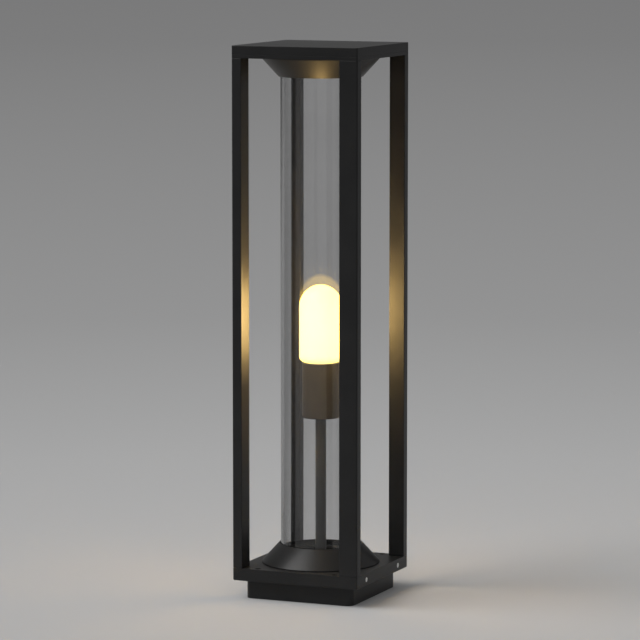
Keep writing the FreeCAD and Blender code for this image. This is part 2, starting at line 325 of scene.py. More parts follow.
@dataclass(frozen=True)
class Finish:
    """An opaque finish, with its mottling, grain and settled dust."""

    name: str
    colour: Colour
    mottled: Colour
    roughness: tuple[float, float]
    metallic: float = 0.0
    mottle_scale: float = 18.0
    grain_scale: float = 900.0
    bump: float = 0.05
    bump_depth: float = 0.05 * MM
    dust: float = 0.0
    coat: float = 0.0
    coat_roughness: float = 0.15
    specular: float = 0.5

    def material(self) -> bpy.types.Material:
        """Returns the Blender material, built on first use."""
        if self.name in bpy.data.materials:
            return bpy.data.materials[self.name]
        mat, tree, shader = new_material(self.name)
        place = add_node(tree, "ShaderNodeTexCoord", -900)
        grain = add_node(tree, "ShaderNodeGroup", -650, 0, {
            "Vector": place.outputs["Object"], "Colour": self.colour,
            "Mottled Colour": self.mottled, "Mottle Scale": self.mottle_scale,
            "Grain Scale": self.grain_scale, "Roughness Low": self.roughness[0],
            "Roughness High": self.roughness[1], "Dust": self.dust,
        }, node_tree=surface_grain())
        relief = add_node(tree, "ShaderNodeBump", -300, -300, {
            "Strength": self.bump, "Distance": self.bump_depth,
            "Height": grain.outputs["Height"]})
        feed(tree, shader, {
            "Base Color": grain.outputs["Colour"], "Roughness": grain.outputs["Roughness"],
            "Normal": relief.outputs["Normal"], "Metallic": self.metallic,
            "Coat Weight": self.coat, "Coat Roughness": self.coat_roughness,
            "Specular IOR Level": self.specular})
        return mat


@dataclass(frozen=True)
class ClearGlass:
    """The tube's clear glass, with painted shade darkening its edges; lets the lamp's light out.
    """

    name: str = "clear faintly grey glass"
    tint: Colour = (0.90, 0.90, 0.90)
    smudge: Colour = (0.87, 0.87, 0.87)
    smudge_scale: float = 9.0
    painted_edge_shade: Colour = (0.22, 0.22, 0.22)
    painted_edge_shade_blend: float = 0.35
    roughness: tuple[float, float] = (0.0, 0.012)
    ior: float = 1.47
    shadow_tint: Colour = (0.90, 0.91, 0.91)

    def material(self) -> bpy.types.Material:
        """Returns the Blender material, built on first use."""
        if self.name in bpy.data.materials:
            return bpy.data.materials[self.name]
        mat, tree, shader = new_material(self.name)
        place = add_node(tree, "ShaderNodeTexCoord", -1000)
        grain = add_node(tree, "ShaderNodeGroup", -650, 0, {
            "Vector": place.outputs["Object"], "Colour": self.tint,
            "Mottled Colour": self.smudge, "Mottle Scale": self.smudge_scale,
            "Roughness Low": self.roughness[0], "Roughness High": self.roughness[1],
        }, node_tree=surface_grain())
        # Painted shade: the glass's colour darkens where it is seen edge-on.
        facing = add_node(tree, "ShaderNodeLayerWeight", -650, 350, {"Blend": self.painted_edge_shade_blend})
        colour = blend(tree, facing.outputs["Facing"], grain.outputs["Colour"], self.painted_edge_shade,
                       -300, 200)
        feed(tree, shader, {"Base Color": colour, "Roughness": grain.outputs["Roughness"],
                            "Transmission Weight": 1.0, "IOR": self.ior})
        let_shadow_rays_out(tree, shader, self.shadow_tint)
        return mat


@dataclass(frozen=True)
class LitOpal:
    """The lamp's opal glass, lit from within."""

    name: str = "lit opal glass"
    colour: Colour = (0.60, 0.58, 0.50)
    mottle_share: float = 0.96        # brightness of the mottling, of the colour's
    roughness: tuple[float, float] = (0.25, 0.35)
    glow: Colour = (1.0, 0.64, 0.105)
    foot_glow: Colour = (0.40, 0.34, 0.08)
    strength: float = 5.4
    foot_z: float = 0.2625            # below this the foot's glow alone
    full_z: float = 0.2720            # above this the full glow

    def material(self) -> bpy.types.Material:
        """Returns the Blender material, built on first use."""
        if self.name in bpy.data.materials:
            return bpy.data.materials[self.name]
        mat, tree, shader = new_material(self.name)
        place = add_node(tree, "ShaderNodeTexCoord", -1000)
        grain = add_node(tree, "ShaderNodeGroup", -650, 200, {
            "Vector": place.outputs["Object"], "Colour": self.colour,
            "Mottled Colour": tuple(c * self.mottle_share for c in self.colour),
            "Roughness Low": self.roughness[0], "Roughness High": self.roughness[1],
        }, node_tree=surface_grain())
        glow = add_node(tree, "ShaderNodeGroup", -650, -300, {
            "Vector": place.outputs["Object"], "Foot Height": self.foot_z,
            "Full Height": self.full_z, "Foot Colour": self.foot_glow, "Full Colour": self.glow,
        }, node_tree=lamp_glow())
        feed(tree, shader, {
            "Base Color": grain.outputs["Colour"], "Roughness": grain.outputs["Roughness"],
            "Emission Color": glow.outputs["Colour"], "Emission Strength": self.strength})
        let_shadow_rays_out(tree, shader, WHITE)
        return mat


PAINT = Finish("black semi-gloss coat", (0.0115, 0.0115, 0.0118), (0.0155, 0.0155, 0.0158),
               (0.36, 0.46), bump=0.12, bump_depth=0.06 * MM, grain_scale=1400.0, dust=0.03,
               specular=0.30)
# Painted light: the stem's black paint, made lighter than the cage's to stand in for the haze
# that the glass tube lays over it.
LIGHTENED_STEM_PAINT = Finish("satin stem coat", (0.030, 0.030, 0.030), (0.036, 0.036, 0.036),
                    (0.3, 0.4), specular=0.4)
STEEL = Finish("bright screw steel", (0.95, 0.95, 0.94), (0.82, 0.82, 0.80), (0.22, 0.38),
               metallic=0.55, mottle_scale=300.0)
DARK_STEEL = Finish("blackened steel", (0.008, 0.008, 0.008), (0.014, 0.013, 0.012),
                    (0.45, 0.6), metallic=0.8, mottle_scale=250.0)
SILICONE = Finish("black silicone", (0.02, 0.02, 0.02), (0.028, 0.028, 0.028), (0.55, 0.7),
                  bump=0.2)
HOLDER = Finish("black moulded holder", (0.012, 0.012, 0.012), (0.017, 0.017, 0.017),
                (0.4, 0.5), grain_scale=2200.0, bump=0.3)
CERAMIC = Finish("glazed ceramic", (0.80, 0.78, 0.74), (0.74, 0.72, 0.67), (0.12, 0.2),
                 coat=0.4)
BRASS = Finish("plain brass", (0.72, 0.52, 0.22), (0.60, 0.42, 0.17), (0.25, 0.4),
               metallic=1.0, mottle_scale=120.0)
CAP = Finish("satin cap metal", (0.72, 0.72, 0.73), (0.62, 0.62, 0.63), (0.25, 0.4),
             metallic=1.0, mottle_scale=160.0)
INSULATOR = Finish("black cap insulator", (0.02, 0.02, 0.022), (0.03, 0.03, 0.03),
                   (0.15, 0.25), coat=0.3)
BLOCK = Finish("natural white plastic", (0.70, 0.70, 0.66), (0.64, 0.64, 0.60), (0.4, 0.5))
GLAND = Finish("matt black plastic", (0.02, 0.02, 0.02), (0.03, 0.03, 0.03), (0.45, 0.6),
               grain_scale=2000.0, bump=0.3)
GLASS = ClearGlass()
OPAL = LitOpal()
AnyFinish = Finish | ClearGlass | LitOpal


# ---- Mesh helpers ------------------------------------------------------------------------
def add_object(name: str, data: bpy.types.ID) -> bpy.types.Object:
    """Adds an object to the scene, at the origin.

    Args:
        name: the object's name.
        data: its mesh, light or camera.

    Returns:
        The object.
    """
    obj = bpy.data.objects.new(name, data)
    bpy.context.scene.collection.objects.link(obj)
    return obj


def object_from(bm: bmesh.types.BMesh, name: str, finish: AnyFinish, sharp_deg: float = 35.0,
                turn_out: bool = True) -> bpy.types.Object:
    """Makes a smooth-shaded object from a bmesh, with its steep edges left sharp.

    Args:
        bm: the mesh, which is freed here.
        name: the piece's name.
        finish: what it is finished in.
        sharp_deg: edges steeper than this stay sharp.
        turn_out: whether to point the faces outwards first.

    Returns:
        The object, at the origin and linked to the scene.
    """
    if turn_out:
        bmesh.ops.recalc_face_normals(bm, faces=bm.faces)
    limit = math.radians(sharp_deg)
    for face in bm.faces:
        face.smooth = True
    for edge in bm.edges:
        edge.smooth = len(edge.link_faces) == 2 and edge.calc_face_angle(0.0) < limit
    mesh = bpy.data.meshes.new(name)
    bm.to_mesh(mesh)
    bm.free()
    mesh.materials.append(finish.material())
    return add_object(name, mesh)


def frozen(obj: bpy.types.Object) -> bpy.types.Object:
    """Turns an object's modifiers into plain mesh.

    Args:
        obj: the object, changed in place.

    Returns:
        The same object, with no modifier left.
    """
    bpy.context.view_layer.update()
    graph = bpy.context.evaluated_depsgraph_get()
    mesh = bpy.data.meshes.new_from_object(obj.evaluated_get(graph))
    obj.modifiers.clear()
    mesh.name = obj.name
    obj.data = mesh
    return obj


def rounded_profile(points: Profile, radius: float, steps: int = 4) -> Profile:
    """Rounds the corners of a closed profile.

    Args:
        points: corners as (radius, height) pairs.
        radius: fillet radius, limited by the sides' lengths.
        steps: segments in each rounded corner.

    Returns:
        The profile with a curve in place of each corner.
    """
    out: Profile = []
    count = len(points)
    for i, point in enumerate(points):
        here = Vector(point)
        before = Vector(points[i - 1]) - here
        after = Vector(points[(i + 1) % count]) - here
        turn = before.angle(after)
        if turn > STRAIGHT or min(before.length, after.length) < NO_LENGTH:
            out.append(point)
            continue
        reach = min(radius / math.tan(turn / 2), before.length * SIDE_SHARE,
                    after.length * SIDE_SHARE)
        start = here + before.normalized() * reach
        end = here + after.normalized() * reach
        for k in range(steps + 1):
            t = k / steps
            spot = start * (1 - t) ** 2 + here * 2 * t * (1 - t) + end * t ** 2
            out.append((spot.x, spot.y))
    return out


def turned(profile: Profile, segments: int, closed: bool = True, flats: int = 0,
           flat_rings: int = 0) -> bmesh.types.BMesh:
    """Turns a profile about the Z axis.

    Args:
        profile: (radius, height) pairs in metres. A radius of 0 makes a pole.
        segments: steps round the axis.
        closed: whether the last point joins the first.
        flats: sides of the regular polygon that a flat ring follows in place of a circle.
        flat_rings: how many points, from the first on, make flat rings.

    Returns:
        The mesh, with its seam closed.
    """
    bm = bmesh.new()
    rings: list[list[bmesh.types.BMVert]] = []
    for index, (r, z) in enumerate(profile):
        if r < NO_LENGTH:
            rings.append([bm.verts.new((0.0, 0.0, z))])
            continue
        rings.append([])
        for i in range(segments):
            a = math.tau * i / segments
            reach = r
            if index < flat_rings:
                side = math.tau / flats
                reach = r * math.cos(side / 2) / math.cos(a % side - side / 2)
            rings[-1].append(bm.verts.new((reach * math.cos(a), reach * math.sin(a), z)))
    pairs = list(zip(rings, rings[1:]))
    if closed:
        pairs.append((rings[-1], rings[0]))
    for low, high in pairs:
        if len(low) == 1 and len(high) == 1:
            continue
        for i in range(segments):
            j = (i + 1) % segments
            if len(low) == 1:
                bm.faces.new((low[0], high[j], high[i]))
            elif len(high) == 1:
                bm.faces.new((low[i], low[j], high[0]))
            else:
                bm.faces.new((low[i], low[j], high[j], high[i]))
    return bm


def eased_copy(node: str, finish: AnyFinish, width: float) -> bpy.types.Object:
    """Copies a CAD piece and eases its sharp edges, as paint and tooling do.

    Args:
        node: the CAD node.
        finish: what it is finished in.
        width: width of the eased edge.

    Returns:
        The finished piece.
    """
    bm = bmesh.new()
    bm.from_mesh(bpy.data.objects[node].data)
    bmesh.ops.remove_doubles(bm, verts=bm.verts, dist=WELD_GAP)
    bmesh.ops.dissolve_limit(bm, angle_limit=SAME_PLANE, verts=bm.verts, edges=bm.edges)
    obj = object_from(bm, f"{node}_finished", finish, turn_out=False)
    bevel = obj.modifiers.new("eased edges", "BEVEL")
    bevel.width = width
    bevel.segments = EASE_STEPS
    bevel.limit_method = "ANGLE"
    bevel.angle_limit = EASED_FROM
    bevel.harden_normals = True
    bevel.use_clamp_overlap = True
    return frozen(obj)


def seat(obj: bpy.types.Object, body: Body, slot: Slot, *nodes: str) -> bpy.types.Object:
    """Hands a finished piece to its body, in place of the CAD nodes it stands for.

    Args:
        obj: the piece.
        body: the body it rides on.
        slot: not used.
        *nodes: CAD nodes that it replaces.

    Returns:
        The piece.
    """
    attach(obj, body.value)
    if nodes:
        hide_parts(*nodes)
    LOG.info("%s: %d faces", obj.name, len(obj.data.polygons))
    return obj


# ---- Geometry Nodes ----------------------------------------------------------------------
def hand_out(tree: bpy.types.GeometryNodeTree, shape: bpy.types.NodeSocket,
             material: bpy.types.NodeSocket, outlet: bpy.types.Node) -> None:
    """Ends a tree: makes its instances real, gives them a material and hands them out.

    Args:
        tree: the tree.
        shape: the geometry to hand out.
        material: the material to give it.
        outlet: the node that takes the tree's output.
    """
    real = add_node(tree, "GeometryNodeRealizeInstances", 500, 100, {"Geometry": shape})
    dressed = add_node(tree, "GeometryNodeSetMaterial", 700, 100, {
        "Geometry": real.outputs["Geometry"], "Material": material})
    feed(tree, outlet, {"Geometry": dressed.outputs["Geometry"]})


def pattern_tree() -> bpy.types.GeometryNodeTree:
    """Builds the tree that repeats a piece at the four corners of a level rectangle.

    Returns:
        A tree with inputs Spacing X, Spacing Y, Height, Turn By Side and Material.
    """
    name = "Four-corner pattern"
    if name in bpy.data.node_groups:
        return bpy.data.node_groups[name]
    tree, inlet, outlet = new_group(name, "GeometryNodeTree", [
        ("Geometry", GEOMETRY, None),
        ("Spacing X", FLOAT, 0.1),
        ("Spacing Y", FLOAT, 0.1),
        ("Height", FLOAT, 0.0),
        ("Turn By Side", FLOAT, 0.0),
        ("Material", MATERIAL, None),
    ], [("Geometry", GEOMETRY)])
    tree.is_modifier = True
    given = inlet.outputs
    grid = add_node(tree, "GeometryNodeMeshGrid", -600, 200, {
        "Vertices X": 2, "Vertices Y": 2, "Size X": given["Spacing X"],
        "Size Y": given["Spacing Y"]})
    up = add_node(tree, "ShaderNodeCombineXYZ", -600, -50, {"Z": given["Height"]})
    corners = add_node(tree, "GeometryNodeSetPosition", -350, 200, {
        "Geometry": grid.outputs["Mesh"], "Offset": up.outputs["Vector"]})

    # Only the copies on the left are turned.
    spot = add_node(tree, "GeometryNodeInputPosition", -600, -250)
    axes = add_node(tree, "ShaderNodeSeparateXYZ", -430, -250, {
        "Vector": spot.outputs["Position"]})
    left = add_node(tree, "FunctionNodeCompare", -250, -250, {
        "A": axes.outputs["X"], "B": 0.0}, operation="LESS_THAN")
    angle = maths(tree, "MULTIPLY", left.outputs["Result"], given["Turn By Side"], -80, -250)
    turn = add_node(tree, "ShaderNodeCombineXYZ", 80, -250, {"Z": angle})
    placed = add_node(tree, "GeometryNodeInstanceOnPoints", 250, 150, {
        "Points": corners.outputs["Geometry"], "Instance": given["Geometry"],
        "Rotation": turn.outputs["Vector"]})
    hand_out(tree, placed.outputs["Instances"], given["Material"], outlet)
    return tree


def thread_tree() -> bpy.types.GeometryNodeTree:
    """Builds the tree that winds a round-crested thread about the Z axis.

    Returns:
        A tree with inputs Radius, Bead, Pitch, Turns, Start Height and Material.
    """
    name = "Round-crested thread"
    if name in bpy.data.node_groups:
        return bpy.data.node_groups[name]
    tree, inlet, outlet = new_group(name, "GeometryNodeTree", [
        ("Geometry", GEOMETRY, None),
        ("Radius", FLOAT, 0.0125),
        ("Bead", FLOAT, 0.0006),
        ("Pitch", FLOAT, 0.0036),
        ("Turns", FLOAT, 4.0),
        ("Start Height", FLOAT, 0.0),
        ("Material", MATERIAL, None),
    ], [("Geometry", GEOMETRY)])
    tree.is_modifier = True
    given = inlet.outputs
    rise = maths(tree, "MULTIPLY", given["Pitch"], given["Turns"], -650, -100)
    coil = add_node(tree, "GeometryNodeCurveSpiral", -400, 150, {
        "Resolution": THREAD_STEPS, "Rotations": given["Turns"],
        "Start Radius": given["Radius"], "End Radius": given["Radius"], "Height": rise})
    bead = add_node(tree, "GeometryNodeCurvePrimitiveCircle", -400, -200, {
        "Resolution": BEAD_SIDES, "Radius": given["Bead"]})
    swept = add_node(tree, "GeometryNodeCurveToMesh", -100, 100, {
        "Curve": coil.outputs["Curve"], "Profile Curve": bead.outputs["Curve"],
        "Fill Caps": True})
    up = add_node(tree, "ShaderNodeCombineXYZ", -100, -150, {"Z": given["Start Height"]})
    lifted = add_node(tree, "GeometryNodeSetPosition", 150, 100, {
        "Geometry": swept.outputs["Mesh"], "Offset": up.outputs["Vector"]})
    both = add_node(tree, "GeometryNodeJoinGeometry", 320, 100, {
        "Geometry": lifted.outputs["Geometry"]})
    feed(tree, both, {"Geometry": given["Geometry"]})
    hand_out(tree, both.outputs["Geometry"], given["Material"], outlet)
    return tree


def grown(obj: bpy.types.Object, tree: bpy.types.GeometryNodeTree,
          values: dict[str, object]) -> bpy.types.Object:
    """Runs a Geometry Nodes tree on an object and keeps the result as plain mesh.

    Args:
        obj: the object that carries the tree.
        tree: the tree.
        values: input values by name.

    Returns:
        The object with its new mesh and no modifier.
    """
    modifier = obj.modifiers.new(tree.name, "NODES")
    modifier.node_group = tree
    for item in tree.interface.items_tree:
        if item.item_type == "SOCKET" and item.in_out == "INPUT" and item.name in values:
            modifier[item.identifier] = values[item.name]
    return frozen(obj)


# ---- Sub-assemblies ----------------------------------------------------------------------
@dataclass
class Cage:
    """The painted flat-bar cage, its lid and the plinth it stands on."""

    bar_edge: float = 0.7 * MM
    plate_edge: float = 0.5 * MM
    lid_edge: float = 0.5 * MM
    plinth_edge: float = 0.8 * MM
    posts: tuple[str, ...] = ("post_front_left", "post_front_right", "post_back_right",
                              "post_back_left")
    rails: tuple[str, ...] = ("bottom_rail_front", "bottom_rail_back", "bottom_rail_left",
                              "bottom_rail_right")
    plates: tuple[str, ...] = ("deck_plate", "ceiling_plate")

    def build(self) -> None:
        """Eases and paints every bar, plate and casting."""
        widths = {**dict.fromkeys(self.posts, self.bar_edge),
                  **dict.fromkeys(self.rails + self.plates, self.plate_edge),
                  "top_cover": self.lid_edge, "plinth": self.plinth_edge}
        for node, width in widths.items():
            seat(eased_copy(node, PAINT, width), Body.CAGE, Slot.PAINT, node)


@dataclass
class GlassColumn:
    """The glass tube, the silicone rings at its ends and the cone collars that hold them."""

    radius: float = 45.0 * MM
    wall: float = 4.0 * MM
    fire_polish: float = 1.2 * MM
    polish_steps: int = 5
    segments: int = 160
    collar_base: float = 66.0 * MM
    collar_lip: float = 1.5 * MM
    rim_height: float = 1.2 * MM
    seat_gap: float = 0.4 * MM
    ledge_height: float = 14.0 * MM
    ledge_thickness: float = 3.0 * MM
    ledge_reach: float = 7.4 * MM
    collar_wall: float = 3.6 * MM
    collar_edge: float = 0.6 * MM
    ring_inset: float = 1.0 * MM      # how far a ring reaches in past the glass
    ring_edge: float = 0.4 * MM
    ring_segments: int = 96

    def tube(self) -> bpy.types.Object:
        """Returns the glass tube, its ends fire-polished."""
        low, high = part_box("glass_tube")
        corners = [(self.radius - self.wall, low.z), (self.radius, low.z),
                   (self.radius, high.z), (self.radius - self.wall, high.z)]
        profile = rounded_profile(corners, self.fire_polish, self.polish_steps)
        return object_from(turned(profile, self.segments), "glass_tube_finished", GLASS)

    def collar(self, node: str, foot: float, up: float) -> bpy.types.Object:
        """Makes one collar.

        Args:
            node: the CAD node.
            foot: height of its wide end.
            up: 1 when it narrows upwards, -1 when it narrows downwards.

        Returns:
            The collar.
        """
        low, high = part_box(node)
        height = high.z - low.z
        bore = self.radius + self.seat_gap
        slope = (self.collar_base - bore - self.collar_lip) / (height - self.rim_height)
        under = self.ledge_height - self.ledge_thickness
        inner = self.collar_base - self.collar_wall
        corners = [
            (self.collar_base, 0.0), (self.collar_base, self.rim_height),
            (bore + self.collar_lip, height), (bore, height),
            (bore, self.ledge_height), (bore - self.ledge_reach, self.ledge_height),
            (bore - self.ledge_reach, under), (inner - slope * under, under), (inner, 0.0),
        ]
        profile = [(r, foot + up * z) for r, z in rounded_profile(corners, self.collar_edge)]
        return object_from(turned(profile, self.segments), f"{node}_finished", PAINT)

    def ring(self, node: str) -> bpy.types.Object:
        """Makes one silicone ring.

        Args:
            node: the CAD node.

        Returns:
            The ring.
        """
        low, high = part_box(node)
        outer, inner = high.x, self.radius - self.wall - self.ring_inset
        corners = [(inner, low.z), (outer, low.z), (outer, high.z), (inner, high.z)]
        ring = turned(rounded_profile(corners, self.ring_edge), self.ring_segments)
        return object_from(ring, f"{node}_finished", SILICONE)

    def build(self) -> None:
        """Builds the column from its lower collar to its upper one."""
        seat(self.tube(), Body.CAGE, Slot.GLASS, "glass_tube")
        lower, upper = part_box("lower_collar")[0].z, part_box("upper_collar")[1].z
        seat(self.collar("lower_collar", lower, 1.0), Body.CAGE, Slot.PAINT, "lower_collar")
        seat(self.collar("upper_collar", upper, -1.0), Body.CAGE, Slot.PAINT, "upper_collar")
        for node in ("lower_gasket", "upper_gasket"):
            seat(self.ring(node), Body.CAGE, Slot.SILICONE, node)


@dataclass
class Holder:
    """The stem and the black lamp holder on it, with the metal and ceramic inside."""

    stem_wall: float = 1.5 * MM
    stem_edge: float = 0.3 * MM
    stem_clearance: float = 0.1 * MM
    cup_wall: float = 1.5 * MM
    cup_floor: float = 3.0 * MM
    cup_edge: float = 1.0 * MM
    segments: int = 96
    fittings: tuple[tuple[str, Finish, Slot, float], ...] = (
        ("stem_nuts", DARK_STEEL, Slot.DARK_STEEL, 0.4 * MM),
        ("holder_insert", CERAMIC, Slot.CERAMIC, 0.4 * MM),
        ("thread_shell", BRASS, Slot.BRASS, 0.1 * MM),
        ("centre_contact", BRASS, Slot.BRASS, 0.05 * MM),
    )

    def stem(self) -> bpy.types.Object:
        """Returns the stem, a tube with slightly rounded ends."""
        low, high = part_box("stem")
        outer = high.x
        inner = outer - self.stem_wall
        corners = [(inner, low.z), (outer, low.z), (outer, high.z), (inner, high.z)]
        tube = turned(rounded_profile(corners, self.stem_edge), self.segments)
        return object_from(tube, "stem_finished", LIGHTENED_STEM_PAINT)

    def cup(self) -> bpy.types.Object:
        """Returns the holder's cup, its edges rounded."""
        low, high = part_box("holder_shell")
        outer = (high.x - low.x) / 2
        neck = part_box("stem")[1].x + self.stem_clearance
        inner = outer - self.cup_wall
        shelf = low.z + self.cup_floor
        corners = [(neck, low.z), (outer, low.z), (outer, high.z), (inner, high.z),
                   (inner, shelf), (neck, shelf)]
        cup = turned(rounded_profile(corners, self.cup_edge), self.segments)
        return object_from(cup, "holder_shell_finished", HOLDER)

    def build(self) -> None:
        """Builds the stem, its nuts, the holder and what is in it."""
        seat(self.stem(), Body.CAGE, Slot.PAINT, "stem")
        seat(self.cup(), Body.CAGE, Slot.HOLDER, "holder_shell")
        for node, finish, slot, width in self.fittings:
            seat(eased_copy(node, finish, width), Body.CAGE, slot, node)


@dataclass
class ScrewLamp:
    """The tubular opal lamp with its screw cap."""

    radius: float = 24.0 * MM
    foot_radius: float = 6.2 * MM     # rounding at its foot
    foot_steps: int = 8
    dome_steps: int = 20
    segments: int = 128
    cap_radius: float = 13.1 * MM     # over the thread's crest
    cap_wall: float = 0.6 * MM
    cap_drawn_in: float = 2.0 * MM    # how far the cap narrows at its bottom
    cap_edge: float = 0.25 * MM
    cap_segments: int = 72
    thread_bead: float = 0.75 * MM
    thread_start: float = 2.6 * MM    # above the bottom of the cap
    pitch: float = 3.6 * MM
    turns: float = 4.5
    tip_edge: float = 0.2 * MM

    def outline(self, low: float, high: float) -> Profile:
        """Traces the bulb from the middle of its foot to the top of its dome.

        Args:
            low: height of the foot.
            high: height of the top.

        Returns:
            The profile.
        """
        foot = self.foot_radius
        points: Profile = [(0.0, low)]
        for k in range(self.foot_steps + 1):
            a = math.radians(90 * k / self.foot_steps)
            points.append((self.radius - foot + foot * math.sin(a),
                           low + foot - foot * math.cos(a)))
        dome = high - self.radius
        for k in range(self.dome_steps):
            a = math.radians(90 * k / self.dome_steps)
            points.append((self.radius * math.cos(a), dome + self.radius * math.sin(a)))
        return [*points, (0.0, high)]

    def envelope(self) -> bpy.types.Object:
        """Returns the opal bulb, its outer skin alone."""
        low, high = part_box("lamp_envelope")
        skin = turned(self.outline(low.z, high.z), self.segments, closed=False)
        return object_from(skin, "lamp_envelope_finished", OPAL)

    def cap(self) -> bpy.types.Object:
        """Returns the screw cap, with its thread wound round a plain sleeve."""
        low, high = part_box("lamp_cap")
        root = self.cap_radius - self.thread_bead
        inner = root - self.cap_wall
        mouth = inner - self.cap_drawn_in
        corners = [(inner, low.z + self.cap_drawn_in), (mouth, low.z + self.cap_wall),
                   (mouth, low.z), (root, low.z), (root, high.z), (inner, high.z)]
        sleeve = turned(rounded_profile(corners, self.cap_edge), self.cap_segments)
        return grown(object_from(sleeve, "lamp_cap_finished", CAP), thread_tree(), {
            "Radius": root, "Bead": self.thread_bead, "Pitch": self.pitch, "Turns": self.turns,
            "Start Height": low.z + self.thread_start, "Material": CAP.material()})

    def build(self) -> None:
        """Builds the lamp on its own body."""
        bulb = seat(self.envelope(), Body.LAMP, Slot.OPAL, "lamp_envelope")
        bulb.visible_diffuse = False
        seat(self.cap(), Body.LAMP, Slot.CAP, "lamp_cap")
        tip = eased_copy("lamp_tip", INSULATOR, self.tip_edge)
        seat(tip, Body.LAMP, Slot.INSULATOR, "lamp_tip")


@dataclass
class Fasteners:
    """The screws, each kind a pattern of four."""

    head_segments: int = 40
    sharp_deg: float = 30.0
    socket_sides: int = 6
    socket_depth: float = 0.7         # of the head's depth
    socket_point: float = 0.75        # depth of the point in its floor, of the head's
    edge_share: float = 0.12          # rounding of the head's edge, of its radius
    edge_middle: tuple[float, float] = (0.4, 0.3)   # in and down, of the rounding
    edge_foot: float = 1.4            # where the taper starts, of the rounding
    side_head: float = 2.8 * MM
    side_depth: float = 1.6 * MM
    side_socket: float = 1.3 * MM
    side_shank: float = 1.5 * MM
    upright_socket: float = 1.35 * MM
    upright_taper: float = 0.98       # underside of the head, of its face
    upright_kinds: tuple[tuple[str, float, float, bool], ...] = (
        ("deck_screws", 3.3 * MM, 1.8 * MM, False),
        ("cover_screws", 4.0 * MM, 1.9 * MM, True),
    )

    def socket_head(self, radius: float, depth: float, socket: float,
                    under: float) -> bmesh.types.BMesh:
        """Makes a screw head that looks along +Z, its face at height 0.

        Args:
            radius: radius of the head's face.
            depth: how deep the head goes.
            socket: radius of the hexagon socket's corners.
            under: radius at the head's underside.

        Returns:
            The head's mesh.
        """
        edge = radius * self.edge_share
        inward, down = self.edge_middle
        profile: Profile = [
            (socket, 0.0), (socket, -depth * self.socket_depth),
            (0.0, -depth * self.socket_point), (0.0, -depth), (under, -depth),
            (radius, -edge * self.edge_foot), (radius, -edge),
            (radius - edge * inward, -edge * down), (radius - edge, 0.0),
        ]
        return turned(profile, self.head_segments, flats=self.socket_sides, flat_rings=2)

    def side_screws(self) -> bpy.types.Object:
        """Returns the bright screws in the left and right rails."""
        low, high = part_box("frame_screws")
        bm = self.socket_head(self.side_head, self.side_depth, self.side_socket,
                              self.side_shank)
        for vert in bm.verts:
            x, y, z = vert.co
            vert.co = (z, y, -x)
        obj = object_from(bm, "frame_screws_finished", STEEL, self.sharp_deg)
        return grown(obj, pattern_tree(), {
            "Spacing X": 2 * high.x, "Spacing Y": (high.y - low.y) - (high.z - low.z),
            "Height": (low.z + high.z) / 2, "Turn By Side": math.pi,
            "Material": STEEL.material()})

    def upright_screws(self, node: str, head: float, depth: float,
                       downwards: bool) -> bpy.types.Object:
        """Makes the four upright screws of one kind.

        Args:
            node: the CAD node.
            head: radius of the head.
            depth: height of the head.
            downwards: whether the heads look down.

        Returns:
            The screws.
        """
        low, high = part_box(node)
        bm = self.socket_head(head, depth, self.upright_socket, head * self.upright_taper)
        if downwards:
            for vert in bm.verts:
                vert.co.z = -vert.co.z
        obj = object_from(bm, f"{node}_finished", DARK_STEEL, self.sharp_deg)
        return grown(obj, pattern_tree(), {
            "Spacing X": (high.x - low.x) - 2 * head, "Spacing Y": (high.y - low.y) - 2 * head,
            "Height": low.z if downwards else high.z, "Turn By Side": 0.0,
            "Material": DARK_STEEL.material()})

    def build(self) -> None:
        """Builds every kind of screw."""
        seat(self.side_screws(), Body.CAGE, Slot.STEEL, "frame_screws")
        for node, head, depth, downwards in self.upright_kinds:
            seat(self.upright_screws(node, head, depth, downwards), Body.CAGE, Slot.DARK_STEEL,
                 node)


@dataclass
class Wiring:
    """The gland and the connector strip in the plinth."""

    edge: float = 0.3 * MM

    def build(self) -> None:
        """Builds both pieces."""
        gland = eased_copy("cable_gland", GLAND, self.edge)
        seat(gland, Body.CAGE, Slot.GLAND, "cable_gland")
        block = eased_copy("terminal_block", BLOCK, self.edge)
        seat(block, Body.CAGE, Slot.BLOCK, "terminal_block")


